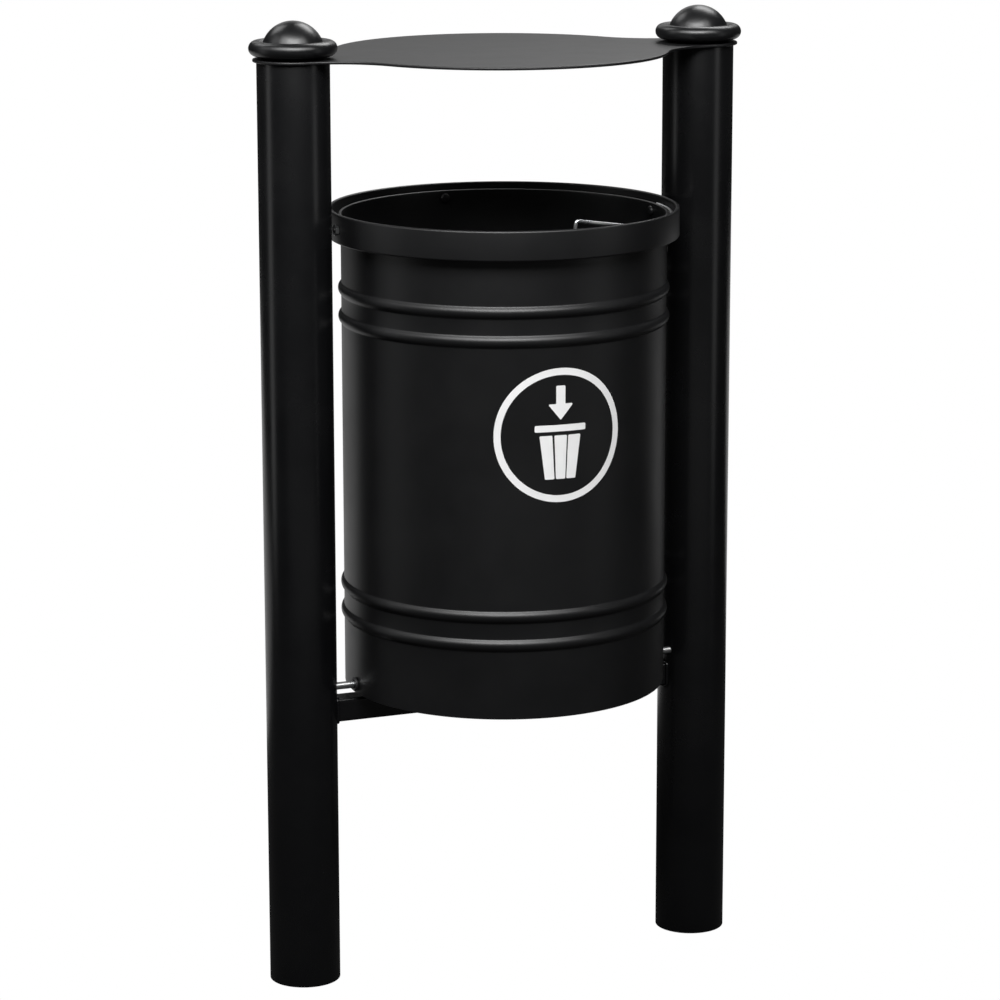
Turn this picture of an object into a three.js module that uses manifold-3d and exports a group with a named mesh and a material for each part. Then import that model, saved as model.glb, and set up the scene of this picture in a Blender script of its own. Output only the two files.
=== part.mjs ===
// Public litter bin: a tilting steel bucket hung between two round posts, under a flat roof plate
// that the two post finials clamp down.
//
// Millimetres, +Z up. +X runs from the left post to the right one and -Y is the front. The posts
// stand on z = 0, and the origin is under the middle of the object's box.

import * as THREE from 'three';
import { mergeVertices } from 'three/addons/utils/BufferGeometryUtils.js';
import Module from 'manifold-3d';

const wasm = await Module();
wasm.setup();

// Driving dimensions
const GAP = 0.3; // between pieces that touch
const POST_SPACING = 460;
const POST_R = 38;
const POST_WALL = 3;
const POST_HEIGHT = 994;

const ROOF_R = 178;
const ROOF_THICKNESS = 3;
const ROOF_LUG_R = 42;
const ROOF_FILLET_R = 80;

const BUCKET_R = 172;
const BUCKET_WALL = 1.5;
const BUCKET_BOTTOM = 317;
const BUCKET_HEIGHT = 510;
const BUCKET_FORWARD = 10; // bucket centre in front of the posts' plane
const BEAD_PAIR_HEIGHTS = [99, 415]; // above the bucket's bottom edge
const BEAD_PITCH = 29;
const BEAD_HALF_WIDTH = 7;
const BEAD_RISE = 4.4;
const HEM_RISE = 2;
const HEM_HEIGHT = 4;

const BAND_R = 186.5;
const BAND_THICKNESS = 3;
const BAND_HEIGHT = 29.5;
const BAND_ABOVE_RIM = 6.8;

const BAND_BOLT_BELOW_RIM = 9;
const BAND_BOLT_R = 3;
const BAND_BOLT_END = BAND_R + 5;

const PIVOT_FORWARD = 14; // pivot axis in front of the posts' plane
const PIVOT_ABOVE_BOTTOM = 10;
const PIVOT_R = 4;

const CROSSBAR_SIZE = 25;
const CROSSBAR_WALL = 2;
const CROSSBAR_TOP = 311;

const WIRE_R = 2;
const BAIL_R = 178;
const LOCK_BELOW_RIM = 51;

// Places that follow from them
const POST_X = POST_SPACING / 2;
const POST_Y = (BAND_R + BUCKET_FORWARD - (BAND_BOLT_END - BUCKET_FORWARD)) / 2;
const POST_BORE_R = POST_R - POST_WALL;
const BUCKET_Y = POST_Y - BUCKET_FORWARD;
const BUCKET_INNER_R = BUCKET_R - BUCKET_WALL;
const RIM_Z = BUCKET_BOTTOM + BUCKET_HEIGHT;
const BAND_BOLT_Z = RIM_Z - BAND_BOLT_BELOW_RIM;
const BAND_TOP = RIM_Z + BAND_ABOVE_RIM;
const PIVOT_Y = POST_Y - PIVOT_FORWARD;
const PIVOT_Z = BUCKET_BOTTOM + PIVOT_ABOVE_BOTTOM;
const LOCK_Z = RIM_Z - LOCK_BELOW_RIM;
const ROOF_Z = POST_HEIGHT + GAP;
const FINIAL_Z = ROOF_Z + ROOF_THICKNESS + GAP;
const ROUND = 64; // facets round the bucket and its band
const SMALL_ROUND = 16; // facets round bolts and bushes

const blackPaint = () => new THREE.MeshStandardMaterial({ color: 0x1c1d20, roughness: 0.42 });
const zincPlate = () => new THREE.MeshStandardMaterial({ color: 0xb4b8bb, roughness: 0.35, metalness: 0.9 });
const blackNylon = () => new THREE.MeshStandardMaterial({ color: 0x151515, roughness: 0.6 });
const blackRubber = () => new THREE.MeshStandardMaterial({ color: 0x101010, roughness: 0.85 });

const object = new THREE.Group();

function addPiece(name, geometry, material, [x, y, z] = [0, 0, 0], parent = object) {
  const mesh = new THREE.Mesh(geometry, material);
  mesh.name = name;
  mesh.position.set(x, y, z);
  parent.add(mesh);
  return mesh;
}

// A group whose +Z runs along +X turned by the azimuth, for pieces turned about a level axis.
function levelAxis(azimuth, [x, y, z]) {
  const heading = new THREE.Group();
  heading.position.set(x, y, z);
  heading.rotation.z = azimuth;
  const axis = new THREE.Group();
  axis.rotation.y = Math.PI / 2;
  heading.add(axis);
  object.add(heading);
  return axis;
}

// Closed geometry with shared corners, turned inside out if its faces point in.
function closed(geometry) {
  geometry.deleteAttribute('normal');
  geometry.deleteAttribute('uv');
  const merged = mergeVertices(geometry, 1e-4);
  const corner = [0, 1, 2].map(() => new THREE.Vector3());
  const kept = [];
  let volume = 0;
  for (let i = 0; i < merged.index.count; i += 3) {
    const ids = [0, 1, 2].map((k) => merged.index.getX(i + k));
    if (new Set(ids).size < 3) continue;
    ids.forEach((id, k) => corner[k].fromBufferAttribute(merged.attributes.position, id));
    volume += corner[0].dot(corner[1].clone().cross(corner[2]));
    kept.push(ids);
  }
  merged.setIndex(kept.flatMap(([a, b, c]) => (volume < 0 ? [a, c, b] : [a, b, c])));
  merged.computeVertexNormals();
  return merged;
}

function toSolid(geometry) {
  const mesh = new wasm.Mesh({
    numProp: 3,
    vertProperties: Float32Array.from(geometry.attributes.position.array),
    triVerts: Uint32Array.from(geometry.index.array),
  });
  return new wasm.Manifold(mesh);
}

function fromSolid(solid) {
  const mesh = solid.getMesh();
  const geometry = new THREE.BufferGeometry();
  geometry.setAttribute('position', new THREE.BufferAttribute(Float32Array.from(mesh.vertProperties), 3));
  geometry.setIndex(Array.from(mesh.triVerts));
  geometry.computeVertexNormals();
  return geometry;
}

function cut(geometry, tools) {
  return fromSolid(tools.reduce((solid, tool) => solid.subtract(toSolid(tool)), toSolid(geometry)));
}

function join(geometry, others) {
  return fromSolid(others.reduce((solid, other) => solid.add(toSolid(other)), toSolid(geometry)));
}

// A profile of [radius, height] pairs turned about +Z.
function turned(profile, segments = SMALL_ROUND) {
  const points = profile.map(([r, z]) => new THREE.Vector2(r, z));
  return closed(new THREE.LatheGeometry(points, segments).rotateX(Math.PI / 2));
}

function disc(r, z0, z1, segments = SMALL_ROUND) {
  return turned([[0, z0], [r, z0], [r, z1], [0, z1]], segments);
}

function ring(rInner, rOuter, z0, z1, segments = SMALL_ROUND) {
  return turned([[rInner, z0], [rOuter, z0], [rOuter, z1], [rInner, z1], [rInner, z0]], segments);
}

function levelRod(r, x0, x1, y, z) {
  return disc(r, x0, x1).rotateY(Math.PI / 2).translate(0, y, z);
}

function polygon(count, r) {
  const corners = Array.from({ length: count }, (_, i) => {
    const angle = (i * 2 * Math.PI) / count;
    return new THREE.Vector2(r * Math.cos(angle), r * Math.sin(angle));
  });
  return new THREE.Shape(corners);
}

function prism(shape, z0, z1, curveSegments = 8) {
  const options = { depth: z1 - z0, bevelEnabled: false, curveSegments };
  return closed(new THREE.ExtrudeGeometry(shape, options).translate(0, 0, z0));
}

function hexNut(cornerR, boreR, z0, z1) {
  const shape = polygon(6, cornerR);
  shape.holes.push(new THREE.Path().absarc(0, 0, boreR, 0, 2 * Math.PI));
  return prism(shape, z0, z1);
}

function arc(centreR, centreZ, r, fromDegrees, toDegrees, steps) {
  return Array.from({ length: steps + 1 }, (_, i) => {
    const angle = THREE.MathUtils.degToRad(fromDegrees + ((toDegrees - fromDegrees) * i) / steps);
    return [centreR + r * Math.cos(angle), centreZ + r * Math.sin(angle)];
  });
}

// Lock places along its level axis, from the bucket's centre plane outwards
const LOCK_BOLT_R = 5;
const LOCK_GUIDE_R = 8;
const LOCK_HOUSING_R = 11;

// Posts: plain round tubes. The pivot bolt enters each inner wall, and the lock crosses the right one.
function addPosts() {
  const tube = () => ring(POST_BORE_R, POST_R, 0, POST_HEIGHT, 48);
  const pivotY = PIVOT_Y - POST_Y;
  const pivotHole = PIVOT_R + 0.4;
  addPiece('left_post', cut(tube(), [levelRod(pivotHole, 0, POST_R + 5, pivotY, PIVOT_Z)]),
    blackPaint(), [-POST_X, POST_Y, 0]);
  addPiece('right_post', cut(tube(), [
    levelRod(pivotHole, -POST_R - 5, 0, pivotY, PIVOT_Z),
    levelRod(LOCK_GUIDE_R + GAP, -POST_R - 5, 0, 0, LOCK_Z),
    levelRod(LOCK_HOUSING_R + GAP, 0, POST_R + 5, 0, LOCK_Z),
  ]), blackPaint(), [POST_X, POST_Y, 0]);
}

// Crossbar: square tube, its ends cut to the round of the posts, with a hole for each buffer's stem.
const BUFFER_X = 90;
const BUFFER_Y = 3;
function addCrossbar() {
  const half = CROSSBAR_SIZE / 2;
  const section = new THREE.Shape([[-half, -half], [half, -half], [half, half], [-half, half]]
    .map(([x, y]) => new THREE.Vector2(x, y)));
  const inner = half - CROSSBAR_WALL;
  section.holes.push(new THREE.Path([[-inner, -inner], [-inner, inner], [inner, inner], [inner, -inner]]
    .map(([x, y]) => new THREE.Vector2(x, y))));
  const bar = prism(section, -POST_X, POST_X).rotateY(Math.PI / 2);
  const tools = [];
  for (const side of [-1, 1]) {
    tools.push(disc(POST_R + GAP, -2 * half, 2 * half, 48).translate(side * POST_X, 0, 0));
    tools.push(disc(3.1, 0, 2 * half).translate(side * BUFFER_X, BUFFER_Y, 0));
  }
  addPiece('crossbar', cut(bar, tools), blackPaint(), [0, POST_Y, CROSSBAR_TOP - half]);
}

// Buffers: rubber buttons on the crossbar that the bucket's floor leans back on.
function addBuffers() {
  const height = BUCKET_BOTTOM - CROSSBAR_TOP - 2 * GAP;
  for (const [name, side] of [['left_buffer', -1], ['right_buffer', 1]]) {
    const button = turned([[0, -5], [2.8, -5], [2.8, 0], [8, 0], [8, height - 1], [7, height], [0, height]]);
    addPiece(name, button, blackRubber(), [side * BUFFER_X, POST_Y + BUFFER_Y, CROSSBAR_TOP + GAP]);
  }
}

// Roof: one flat plate, a disc with a round lug for each post, joined by hollow fillets.
function addRoof() {
  const reach = ROOF_R + ROOF_FILLET_R;
  const lugReach = ROOF_LUG_R + ROOF_FILLET_R;
  const filletX = (reach ** 2 - lugReach ** 2 + POST_X ** 2) / (2 * POST_X);
  const filletY = Math.sqrt(reach ** 2 - filletX ** 2);
  const discAngle = Math.atan2(filletY, filletX);
  const lugAngle = Math.atan2(filletY, filletX - POST_X);
  const { PI } = Math;
  const outline = new THREE.Shape();
  outline.absarc(POST_X, 0, ROOF_LUG_R, -lugAngle, lugAngle, false);
  outline.absarc(filletX, filletY, ROOF_FILLET_R, lugAngle - PI, discAngle - PI, true);
  outline.absarc(0, 0, ROOF_R, discAngle, PI - discAngle, false);
  outline.absarc(-filletX, filletY, ROOF_FILLET_R, -discAngle, -lugAngle, true);
  outline.absarc(-POST_X, 0, ROOF_LUG_R, PI - lugAngle, PI + lugAngle, false);
  outline.absarc(-filletX, -filletY, ROOF_FILLET_R, lugAngle, discAngle, true);
  outline.absarc(0, 0, ROOF_R, PI + discAngle, 2 * PI - discAngle, false);
  outline.absarc(filletX, -filletY, ROOF_FILLET_R, PI - discAngle, PI - lugAngle, true);
  for (const side of [-1, 1]) {
    outline.holes.push(new THREE.Path().absarc(side * POST_X, 0, STUD_R + 0.5, 0, 2 * PI));
  }
  addPiece('roof_plate', prism(outline, 0, ROOF_THICKNESS, 10), blackPaint(), [0, POST_Y, ROOF_Z]);
}

// Post tops: a plate in the tube, a stud and nut, and a cast finial that clamps the roof's lug.
const STUD_R = 5;
function addPostTops() {
  const plateDepth = 8;
  const nutHeight = 8;
  const ringR = 38.2;
  const ringZ = 9.4;
  const ringTubeR = 9.2;
  const domeR = 33;
  const domeZ = 5.5;
  const profile = [
    [0, 20], [STUD_R + GAP, 20], [STUD_R + GAP, 0], [33, 0],
    ...arc(ringR, ringZ, ringTubeR, -122, 137, 10),
    ...arc(0, domeZ, domeR, 18.5, 90, 6).slice(0, -1),
    [0, domeZ + domeR],
  ];
  for (const [side, x] of [['left', -POST_X], ['right', POST_X]]) {
    const plate = ring(STUD_R + GAP, POST_BORE_R - GAP, -plateDepth, 0, 32);
    addPiece(`${side}_top_plate`, plate, blackPaint(), [x, POST_Y, POST_HEIGHT - GAP]);
    const nut = hexNut(9.8, STUD_R + GAP, -nutHeight, 0);
    const nutZ = POST_HEIGHT - plateDepth - 2 * GAP;
    addPiece(`${side}_stud_nut`, nut, zincPlate(), [x, POST_Y, nutZ]);
    addPiece(`${side}_finial_stud`, disc(STUD_R, -20, 22), zincPlate(), [x, POST_Y, POST_HEIGHT - GAP]);
    addPiece(`${side}_finial`, turned(profile, 32), blackPaint(), [x, POST_Y, FINIAL_Z]);
  }
}

// Bucket: rolled sheet with two pairs of swaged beads and a hemmed rim, and a drained floor.
const FLOOR_THICKNESS = 1.5;
function addBucket() {
  const beads = BEAD_PAIR_HEIGHTS.flatMap((height) => [height - BEAD_PITCH / 2, height + BEAD_PITCH / 2]);
  const beadOutline = (z) => [-1, -0.55, 0, 0.55, 1].map((t) =>
    [BUCKET_R + BEAD_RISE * (1 - Math.abs(t) ** 2.2), z + t * BEAD_HALF_WIDTH]);
  const profile = [
    [BUCKET_INNER_R, 0], [BUCKET_R, 0],
    ...beads.flatMap(beadOutline),
    [BUCKET_R, BUCKET_HEIGHT - HEM_HEIGHT], [BUCKET_R + HEM_RISE, BUCKET_HEIGHT - HEM_HEIGHT + 0.8],
    [BUCKET_R + HEM_RISE, BUCKET_HEIGHT - 0.8], [BUCKET_R + HEM_RISE - 0.8, BUCKET_HEIGHT],
    [BUCKET_INNER_R, BUCKET_HEIGHT], [BUCKET_INNER_R, 0],
  ];
  const boltHeight = BAND_BOLT_Z - BUCKET_BOTTOM;
  const boltHole = () => levelRod(BAND_BOLT_R + GAP, BUCKET_INNER_R - 5, BUCKET_R + 5, 0, boltHeight);
  const pivotY = PIVOT_Y - BUCKET_Y;
  const pivotHole = (x0, x1) => levelRod(PIVOT_BUSH_R + GAP, x0, x1, pivotY, PIVOT_ABOVE_BOTTOM);
  const shell = cut(turned(profile, ROUND), [
    boltHole(), boltHole().rotateZ(Math.PI / 2), boltHole().rotateZ(Math.PI),
    pivotHole(BUCKET_INNER_R - 5, BUCKET_R + 5), pivotHole(-BUCKET_R - 5, -BUCKET_INNER_R + 5),
  ]);
  addPiece('bucket_shell', shell, blackPaint(), [0, BUCKET_Y, BUCKET_BOTTOM]);

  const drains = [disc(5, -1, 3)];
  for (let i = 0; i < 4; i += 1) {
    drains.push(disc(5, -1, 3).translate(100, 0, 0).rotateZ(((i + 0.5) * Math.PI) / 2));
  }
  const floor = cut(disc(BUCKET_INNER_R - GAP, 0, FLOOR_THICKNESS, ROUND), drains);
  addPiece('bucket_floor', floor, blackPaint(), [0, BUCKET_Y, BUCKET_BOTTOM]);
}

// Rim band: a flat hoop held off the bucket by a bolt, a spacer and a nut at the left, right and back.
function addRimBand() {
  const height = BAND_BOLT_Z - BAND_TOP + BAND_HEIGHT;
  const hole = () => levelRod(BAND_BOLT_R + GAP, BAND_R - 10, BAND_R + 5, 0, height);
  const band = cut(ring(BAND_R - BAND_THICKNESS, BAND_R, 0, BAND_HEIGHT, ROUND),
    [hole(), hole().rotateZ(Math.PI / 2), hole().rotateZ(Math.PI)]);
  addPiece('rim_band', band, blackPaint(), [0, BUCKET_Y, BAND_TOP - BAND_HEIGHT]);

  const headSeat = BUCKET_INNER_R - GAP;
  const bolt = () => turned([
    [0, headSeat - 3.3], [3.5, headSeat - 3.3], [5.5, headSeat - 1.6], [5.5, headSeat],
    [BAND_BOLT_R, headSeat], [BAND_BOLT_R, BAND_BOLT_END], [0, BAND_BOLT_END],
  ]);
  const places = [['right', 0], ['back', Math.PI / 2], ['left', Math.PI]];
  for (const [side, azimuth] of places) {
    const axis = levelAxis(azimuth, [0, BUCKET_Y, BAND_BOLT_Z]);
    const at = [0, 0, 0];
    addPiece(`${side}_band_bolt`, bolt(), blackPaint(), at, axis);
    addPiece(`${side}_band_spacer`, ring(BAND_BOLT_R + GAP, SPACER_R, BUCKET_R + 0.4,
      BAND_R - BAND_THICKNESS - 0.5), zincPlate(), at, axis);
    addPiece(`${side}_band_nut`, hexNut(5.8, BAND_BOLT_R + GAP, BAND_R + GAP, BAND_R + GAP + 4),
      zincPlate(), at, axis);
  }
}

// Bag bail: a half ring of wire that swings on the side spacers and presses the folded bag down
// between bucket and band. A kink near the front right makes its finger lift.
const SPACER_R = 4.6;
const EYE_R = SPACER_R + 0.4 + WIRE_R;
function addBagBail() {
  const at = (degrees, rise) => {
    const angle = THREE.MathUtils.degToRad(degrees);
    return new THREE.Vector3(BAIL_R * Math.cos(angle), BAIL_R * Math.sin(angle), EYE_R + rise);
  };
  const liftStart = -85;
  const liftEnd = -57;
  const liftRise = 16;
  const route = [];
  for (let degrees = -180; degrees < liftStart - 3; degrees += 9) route.push(at(degrees, 0));
  route.push(at(liftStart - 1.4, 0), at(liftStart - 0.2, 1.6), at(liftStart, liftRise / 2));
  route.push(at(liftStart + 0.2, liftRise - 1.6), at(liftStart + 1.4, liftRise - 0.4));
  for (const part of [0.25, 0.5, 0.75, 0.93]) {
    route.push(at(liftStart + (liftEnd - liftStart) * part, liftRise * (1 - part)));
  }
  for (let degrees = liftEnd + 3; degrees <= 0; degrees += 9) route.push(at(degrees, 0));
  const path = new THREE.CatmullRomCurve3(route, false, 'centripetal');
  const section = polygon(8, WIRE_R);
  const wire = closed(new THREE.ExtrudeGeometry(section, { steps: 96, extrudePath: path }));
  const eye = (side) => closed(new THREE.TorusGeometry(EYE_R, WIRE_R, 8, 20).rotateY(Math.PI / 2)
    .translate(side * BAIL_R, 0, 0));
  addPiece('bag_bail', join(wire, [eye(-1), eye(1)]), zincPlate(), [0, BUCKET_Y, BAND_BOLT_Z]);
}

// Pivots: each bolt passes from inside the bucket, through a nylon bush, into a weld nut in the post.
const PIVOT_BUSH_R = 5.9;
function addPivots() {
  const headHeight = 5.3;
  const washerHeight = 1.6;
  const washerEnd = BUCKET_INNER_R - 1;
  const headEnd = washerEnd - washerHeight - GAP;
  const bushSeat = BUCKET_R + 0.4;
  const nutStart = POST_X - POST_BORE_R + 8.2;
  for (const [side, azimuth] of [['right', 0], ['left', Math.PI]]) {
    const axis = levelAxis(azimuth, [0, PIVOT_Y, PIVOT_Z]);
    const at = [0, 0, 0];
    const shank = disc(PIVOT_R, headEnd - 1, nutStart + 9);
    const head = prism(polygon(6, 7.5), headEnd - headHeight, headEnd);
    addPiece(`${side}_pivot_bolt`, join(shank, [head]), zincPlate(), at, axis);
    const washer = ring(PIVOT_R + GAP, 7.8, washerEnd - washerHeight, washerEnd);
    addPiece(`${side}_pivot_washer`, washer, zincPlate(), at, axis);
    addPiece(`${side}_pivot_bush`, turned([
      [PIVOT_R + 0.2, washerEnd + GAP], [PIVOT_BUSH_R, washerEnd + GAP], [PIVOT_BUSH_R, bushSeat],
      [8.7, bushSeat], [8.7, bushSeat + 2.4], [PIVOT_R + 0.2, bushSeat + 2.4],
      [PIVOT_R + 0.2, washerEnd + GAP],
    ]), blackNylon(), at, axis);
    addPiece(`${side}_pivot_nut`, hexNut(7.5, PIVOT_R + GAP, nutStart, nutStart + 6.5), zincPlate(), at, axis);
  }
}

// Lock: a key-turned barrel in the right post drives a bolt into the keeper on the bucket.
function addLock() {
  const axis = levelAxis(0, [0, POST_Y, LOCK_Z]);
  const at = [0, 0, 0];
  const inner = POST_X - POST_R;
  const outer = POST_X + POST_R;
  const face = outer - 2; // the housing and its key stud stay inside the post's round
  const sleeve = [inner + 22, inner + 50];
  const barrelEnd = face - 4;
  addPiece('lock_housing', ring(8.3, LOCK_HOUSING_R, face - 20, face, 24), zincPlate(), at, axis);
  const barrel = turned([
    [0, sleeve[1]], [LOCK_BOLT_R + 0.6, sleeve[1]], [LOCK_BOLT_R + 0.6, sleeve[0]], [8, sleeve[0]],
    [8, barrelEnd], [0, barrelEnd],
  ], 24);
  const keyStud = prism(polygon(3, 5), barrelEnd - 1, barrelEnd + 3.6);
  addPiece('lock_barrel', join(barrel, [keyStud]), zincPlate(), at, axis);
  addPiece('lock_guide', turned([
    [LOCK_BOLT_R + 0.4, inner + 1], [LOCK_GUIDE_R, inner + 1], [LOCK_GUIDE_R, inner + 5.2],
    [10.5, inner + 5.2], [10.5, inner + 7.5], [LOCK_GUIDE_R, inner + 7.5], [LOCK_GUIDE_R, inner + 14],
    [LOCK_BOLT_R + 0.4, inner + 14], [LOCK_BOLT_R + 0.4, inner + 1],
  ]), blackNylon(), at, axis);
  addPiece('lock_bolt', turned([
    [0, inner + 0.5], [4, inner + 0.5], [LOCK_BOLT_R, inner + 1.5], [LOCK_BOLT_R, inner + 44],
    [0, inner + 44],
  ]), zincPlate(), at, axis);
  addPiece('lock_keeper', ring(LOCK_BOLT_R + 2, 10.5, BUCKET_R + GAP, inner - 5), blackPaint(), at, axis);
}

addPosts();
addCrossbar();
addBuffers();
addRoof();
addPostTops();
addBucket();
addRimBand();
addBagBail();
addPivots();
addLock();

export default object;
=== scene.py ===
import math

import bmesh
import bpy
from mathutils import Matrix, Vector


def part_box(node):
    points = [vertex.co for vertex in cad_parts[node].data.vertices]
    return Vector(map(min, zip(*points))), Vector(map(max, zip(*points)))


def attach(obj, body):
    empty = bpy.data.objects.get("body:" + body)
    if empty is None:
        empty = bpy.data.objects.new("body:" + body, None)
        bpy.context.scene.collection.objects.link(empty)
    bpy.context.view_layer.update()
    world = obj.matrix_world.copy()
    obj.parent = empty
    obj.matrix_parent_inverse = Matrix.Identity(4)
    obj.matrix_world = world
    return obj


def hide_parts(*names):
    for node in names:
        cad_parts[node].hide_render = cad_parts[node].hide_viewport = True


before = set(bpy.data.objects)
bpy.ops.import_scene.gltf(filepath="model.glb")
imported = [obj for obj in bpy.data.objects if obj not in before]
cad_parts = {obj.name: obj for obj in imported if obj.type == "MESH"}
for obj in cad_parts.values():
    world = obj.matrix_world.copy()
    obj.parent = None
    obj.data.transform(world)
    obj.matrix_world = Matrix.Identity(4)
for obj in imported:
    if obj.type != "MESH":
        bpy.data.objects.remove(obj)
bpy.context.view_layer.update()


# ---------------------------------------------------------------- camera
# The bin is seen from its front left at eye height, through a long lens, as a person
# standing four metres away would see it.
camera_data = bpy.data.cameras.new("camera")
camera_data.sensor_width = 36
camera_data.lens = 133.68
camera_data.clip_end = 60
camera = bpy.data.objects.new("camera", camera_data)
camera_yaw, camera_dip, camera_roll = (math.radians(a) for a in (22.10, 12.774, -0.076))
camera.matrix_world = (
    Matrix.Translation((-1.4738, -3.6206, 1.3990))
    @ Matrix.Rotation(-camera_yaw, 4, "Z")
    @ Matrix.Rotation(math.pi / 2 - camera_dip, 4, "X")
    @ Matrix.Rotation(camera_roll, 4, "Z")
)
bpy.context.scene.collection.objects.link(camera)
bpy.context.scene.camera = camera


# ---------------------------------------------------------------- studio
# A white studio, whose floor is dark as far as gloss and light can tell. Soft boxes hang
# high in front, at the left and behind, low strips stand at the sides, and the floor glows
# behind the bin and in front. Satin black paint so keeps its dark middle and bright edges.
FLOOR_REACH = 9.0
FLOOR_DROP = 0.0004
DIM = 0.03
SOFT_BOXES = [
    # name, direction it stands in, elevation, distance, width, height, radiance
    ("front_box", -112, 48, 2.8, 1.6, 1.2, 13.0),
    ("front_left_box", -150, 48, 2.7, 1.2, 1.2, 6.5),
    ("front_right_box", -74, 48, 2.7, 1.2, 1.2, 5.0),
    ("left_box", 168, 40, 2.2, 0.8, 0.8, 1.5),
    ("left_strip", 168, 8, 2.2, 0.5, 1.5, 0.9),
    ("right_strip", -44, 8, 2.2, 0.5, 1.5, 0.7),
    ("back_box", 68, 30, 3.0, 2.4, 1.0, 0.75),
    ("rear_right_box", 42, 52, 2.8, 1.4, 1.0, 6.0),
    ("rear_left_box", 118, 50, 2.8, 1.0, 1.0, 3.0),
]
SOFT_BOX_AIM = 0.55
LIT_FLOOR_RISE = 0.02
LIT_FLOOR = [
    # name, middle, width, depth, radiance
    ("back_sweep", (0.9, 2.8), 5.8, 3.9, 0.65),
    ("front_floor", (-1.09, -2.69), 5.0, 1.8, 0.2),
]
scene = bpy.context.scene
scene.view_settings.view_transform = "Standard"
scene.view_settings.look = "None"


def nodes_of(owner):
    owner.use_nodes = True
    owner.node_tree.nodes.clear()
    return owner.node_tree.nodes, owner.node_tree.links


def studio_surface(owner, output_kind, seen, unseen):
    """One shader for what the camera sees, and another for what lights and gloss meet."""
    nodes, links = nodes_of(owner)
    path = nodes.new("ShaderNodeLightPath")
    mix = nodes.new("ShaderNodeMixShader")
    output = nodes.new(output_kind)
    links.new(path.outputs["Is Camera Ray"], mix.inputs["Fac"])
    links.new(unseen(nodes, links), mix.inputs[1])
    links.new(seen(nodes, links), mix.inputs[2])
    links.new(mix.outputs[0], output.inputs["Surface"])


def glow(kind, colour, strength):
    def make(nodes, links):
        shader = nodes.new(kind)
        shader.inputs["Color"].default_value = (*colour, 1)
        shader.inputs["Strength"].default_value = strength
        return shader.outputs[0]
    return make


def dim_floor(nodes, links):
    paint = nodes.new("ShaderNodeBsdfDiffuse")
    paint.inputs["Color"].default_value = (DIM, DIM, DIM, 1)
    return paint.outputs[0]


world = bpy.data.worlds.new("studio")
scene.world = world
studio_surface(
    world,
    "ShaderNodeOutputWorld",
    glow("ShaderNodeBackground", (1, 1, 1), 1.0),
    glow("ShaderNodeBackground", (1, 1, 1), DIM),
)

floor_mesh = bpy.data.meshes.new("studio_floor")
floor_mesh.from_pydata(
    [(x * FLOOR_REACH, y * FLOOR_REACH, -FLOOR_DROP) for x, y in ((-1, -1), (1, -1), (1, 1), (-1, 1))],
    [],
    [(0, 1, 2, 3)],
)
floor_paint = bpy.data.materials.new("studio_floor")
studio_surface(
    floor_paint,
    "ShaderNodeOutputMaterial",
    glow("ShaderNodeEmission", (1, 1, 1), 1.0),
    dim_floor,
)
floor_mesh.materials.append(floor_paint)
studio_floor = bpy.data.objects.new("studio_floor", floor_mesh)
scene.collection.objects.link(studio_floor)


def soft_light(name, place, target, width, height, radiance):
    light = bpy.data.lights.new(name, "AREA")
    light.shape = "RECTANGLE"
    light.size, light.size_y = width, height
    light.energy = math.pi * width * height * radiance
    lamp = bpy.data.objects.new(name, light)
    lamp.location = place
    lamp.rotation_mode = "QUATERNION"
    lamp.rotation_quaternion = (Vector(target) - Vector(place)).to_track_quat("-Z", "Y")
    lamp.visible_camera = False
    scene.collection.objects.link(lamp)


for name, direction, elevation, distance, width, tall, radiance in SOFT_BOXES:
    turn, lift = math.radians(direction), math.radians(elevation)
    place = (
        distance * math.cos(lift) * math.cos(turn),
        distance * math.cos(lift) * math.sin(turn),
        SOFT_BOX_AIM + distance * math.sin(lift),
    )
    soft_light(name, place, (0, 0, SOFT_BOX_AIM), width, tall, radiance)
for name, (x, y), width, deep, radiance in LIT_FLOOR:
    soft_light(name, (x, y, LIT_FLOOR_RISE), (x, y, 1), width, deep, radiance)


# ---------------------------------------------------------------- posts
# Two lengths of 76 mm round steel tube, cut square and deburred, with the holes for the
# bucket's pivots and the lock drilled before powder coating. Satin black polyester
# powder, with the fine orange peel and the few dust nibs that such a coat has.
MM = 0.001
POST_WALL = 3
POST_FACETS = 144
PIVOT_HOLE = 4.4
LOCK_GUIDE_HOLE = 8.3
LOCK_HOUSING_HOLE = 11.3
# Heights just below and above a post's holes, where its wall has extra rings of facets.
PIVOT_ROWS = [300, 354]
LOCK_ROWS = [740, 812]


def middle(node):
    low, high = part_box(node)
    return (low + high) / 2


def size_of(node):
    low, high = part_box(node)
    return (high - low) / MM


def rounded(corners, loop=True, steps=4):
    """An outline of (across, up, corner radius), with each corner rounded."""
    points = []
    for i, (across, up, radius) in enumerate(corners):
        here = Vector((across, up))
        if radius <= 0 or (not loop and i in (0, len(corners) - 1)):
            points.append(here)
            continue
        back = Vector(corners[i - 1][:2]) - here
        ahead = Vector(corners[(i + 1) % len(corners)][:2]) - here
        half = back.angle(ahead) / 2
        reach = min(radius / math.tan(half), 0.49 * back.length, 0.49 * ahead.length)
        bisector = (back.normalized() + ahead.normalized()).normalized()
        centre = here + bisector * (reach / math.cos(half))
        start = here + back.normalized() * reach - centre
        end = here + ahead.normalized() * reach - centre
        for k in range(steps + 1):
            points.append(centre + start.slerp(end, k / steps).normalized() * start.length)
    return points


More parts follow.
